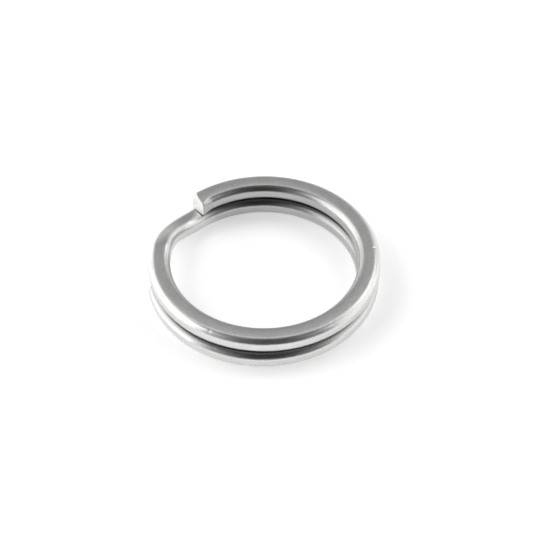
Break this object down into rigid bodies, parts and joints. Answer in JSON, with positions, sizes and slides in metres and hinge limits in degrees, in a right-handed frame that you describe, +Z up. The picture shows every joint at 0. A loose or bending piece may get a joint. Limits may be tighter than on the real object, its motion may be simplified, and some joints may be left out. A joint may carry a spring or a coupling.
{
  "type": "split key ring",
  "caption": "Split key ring: flat-topped spring wire wound into an upper and a lower turn that lie together, with a stepped crossover and free ends that open for a key.",
  "frame": {"origin": "centre of the ring's bounding box, on the plane that the ring lies on", "axes": "+Z up along the ring's axis, +Y towards the back, +X to the right; the crossover and the upper free end are at the back left"},
  "size_m": [0.025, 0.0254, 0.0038],
  "materials": {
    "steel": "satin"
  },
  "bodies": {
    "crossover": {"crossover": "steel"},
    "upper_end": {"upper_end": "steel"},
    "upper_back": {"upper_back": "steel"},
    "upper_back_right": {"upper_back_right": "steel"},
    "upper_right": {"upper_right": "steel"},
    "upper_front_right": {"upper_front_right": "steel"},
    "upper_front": {"upper_front": "steel"},
    "upper_front_left": {"upper_front_left": "steel"},
    "upper_left": {"upper_left": "steel"},
    "lower_back_left": {"lower_back_left": "steel"},
    "lower_back": {"lower_back": "steel"},
    "lower_back_right": {"lower_back_right": "steel"},
    "lower_right": {"lower_right": "steel"},
    "lower_front_right": {"lower_front_right": "steel"},
    "lower_front": {"lower_front": "steel"},
    "lower_front_left": {"lower_front_left": "steel"},
    "lower_end": {"lower_end": "steel"}
  },
  "joints": [
    {"name": "upper_left_flex", "type": "hinge", "parent": "crossover", "child": "upper_left", "pos_m": [-0.01241, 0.0017, 0.00193], "axis": [-0.1219, -0.9925, 0], "range_deg": [0, 0.331], "stiffness_Nm_per_rad": 0.025},
    {"name": "upper_front_left_flex", "type": "hinge", "parent": "upper_left", "child": "upper_front_left", "pos_m": [-0.01053, -0.00656, 0.00193], "axis": [0.5391, -0.8422, 0], "range_deg": [0, 1.07], "stiffness_Nm_per_rad": 0.025},
    {"name": "upper_front_flex", "type": "hinge", "parent": "upper_front_left", "child": "upper_front", "pos_m": [-0.00381, -0.01172, 0.00193], "axis": [0.9524, -0.3049, 0], "range_deg": [0, 1.89], "stiffness_Nm_per_rad": 0.025},
    {"name": "upper_opening", "type": "hinge", "parent": "upper_front", "child": "upper_front_right", "pos_m": [0.00466, -0.01142, 0.00193], "axis": [0.928, 0.3726, 0], "range_deg": [0, 2.4], "stiffness_Nm_per_rad": 0.025},
    {"name": "upper_right_flex", "type": "hinge", "parent": "upper_front_right", "child": "upper_right", "pos_m": [0.01099, -0.00578, 0.00193], "axis": [0.4772, 0.8788, 0], "range_deg": [0, 2.38], "stiffness_Nm_per_rad": 0.025},
    {"name": "upper_back_right_flex", "type": "hinge", "parent": "upper_right", "child": "upper_back_right", "pos_m": [0.01227, 0.00259, 0.00193], "axis": [-0.1929, 0.9812, 0], "range_deg": [0, 1.82], "stiffness_Nm_per_rad": 0.025},
    {"name": "upper_back_flex", "type": "hinge", "parent": "upper_back_right", "child": "upper_back", "pos_m": [0.00791, 0.00986, 0.00193], "axis": [-0.7744, 0.6327, 0], "range_deg": [0, 1], "stiffness_Nm_per_rad": 0.025},
    {"name": "upper_end_flex", "type": "hinge", "parent": "upper_back", "child": "upper_end", "pos_m": [-0.00008, 0.01268, 0.00193], "axis": [-1, -0.0065, 0], "range_deg": [0, 0.283], "stiffness_Nm_per_rad": 0.025},
    {"name": "lower_back_left_flex", "type": "hinge", "parent": "crossover", "child": "lower_back_left", "pos_m": [-0.00836, 0.00925, 0.00188], "axis": [0.7547, 0.6561, 0], "range_deg": [0, 0.573], "stiffness_Nm_per_rad": 0.025},
    {"name": "lower_back_flex", "type": "hinge", "parent": "lower_back_left", "child": "lower_back", "pos_m": [-0.00089, 0.0123, 0.00188], "axis": [0.9983, 0.0589, 0], "range_deg": [0, 1.32], "stiffness_Nm_per_rad": 0.025},
    {"name": "lower_back_right_flex", "type": "hinge", "parent": "lower_back", "child": "lower_back_right", "pos_m": [0.00688, 0.01015, 0.00188], "axis": [0.8266, -0.5628, 0], "range_deg": [0, 2.01], "stiffness_Nm_per_rad": 0.025},
    {"name": "lower_opening", "type": "hinge", "parent": "lower_back_right", "child": "lower_right", "pos_m": [0.01172, 0.00371, 0.00188], "axis": [0.3111, -0.9504, 0], "range_deg": [0, 2.35], "stiffness_Nm_per_rad": 0.025},
    {"name": "lower_front_right_flex", "type": "hinge", "parent": "lower_right", "child": "lower_front_right", "pos_m": [0.01163, -0.00435, 0.00188], "axis": [-0.3338, -0.9426, 0], "range_deg": [0, 2.21], "stiffness_Nm_per_rad": 0.025},
    {"name": "lower_front_flex", "type": "hinge", "parent": "lower_front_right", "child": "lower_front", "pos_m": [0.00663, -0.01068, 0.00188], "axis": [-0.8399, -0.5428, 0], "range_deg": [0, 1.64], "stiffness_Nm_per_rad": 0.025},
    {"name": "lower_front_left_flex", "type": "hinge", "parent": "lower_front", "child": "lower_front_left", "pos_m": [-0.00119, -0.01264, 0.00188], "axis": [-0.9966, 0.0828, 0], "range_deg": [0, 0.881], "stiffness_Nm_per_rad": 0.025},
    {"name": "lower_end_flex", "type": "hinge", "parent": "lower_front_left", "child": "lower_end", "pos_m": [-0.00858, -0.00941, 0.00188], "axis": [-0.7387, 0.674, 0], "range_deg": [0, 0.246], "stiffness_Nm_per_rad": 0.025}
  ],
  "couplings": [
    {"joint": "upper_end_flex", "follows": "upper_opening", "ratio": 0.1178},
    {"joint": "upper_back_flex", "follows": "upper_opening", "ratio": 0.4171},
    {"joint": "upper_back_right_flex", "follows": "upper_opening", "ratio": 0.7603},
    {"joint": "upper_right_flex", "follows": "upper_opening", "ratio": 0.9898},
    {"joint": "upper_front_flex", "follows": "upper_opening", "ratio": 0.7863},
    {"joint": "upper_front_left_flex", "follows": "upper_opening", "ratio": 0.4469},
    {"joint": "upper_left_flex", "follows": "upper_opening", "ratio": 0.1377},
    {"joint": "lower_end_flex", "follows": "lower_opening", "ratio": 0.1045},
    {"joint": "lower_front_left_flex", "follows": "lower_opening", "ratio": 0.3746},
    {"joint": "lower_front_flex", "follows": "lower_opening", "ratio": 0.6979},
    {"joint": "lower_front_right_flex", "follows": "lower_opening", "ratio": 0.9399},
    {"joint": "lower_back_right_flex", "follows": "lower_opening", "ratio": 0.8532},
    {"joint": "lower_back_flex", "follows": "lower_opening", "ratio": 0.5605},
    {"joint": "lower_back_left_flex", "follows": "lower_opening", "ratio": 0.2437}
  ]
}
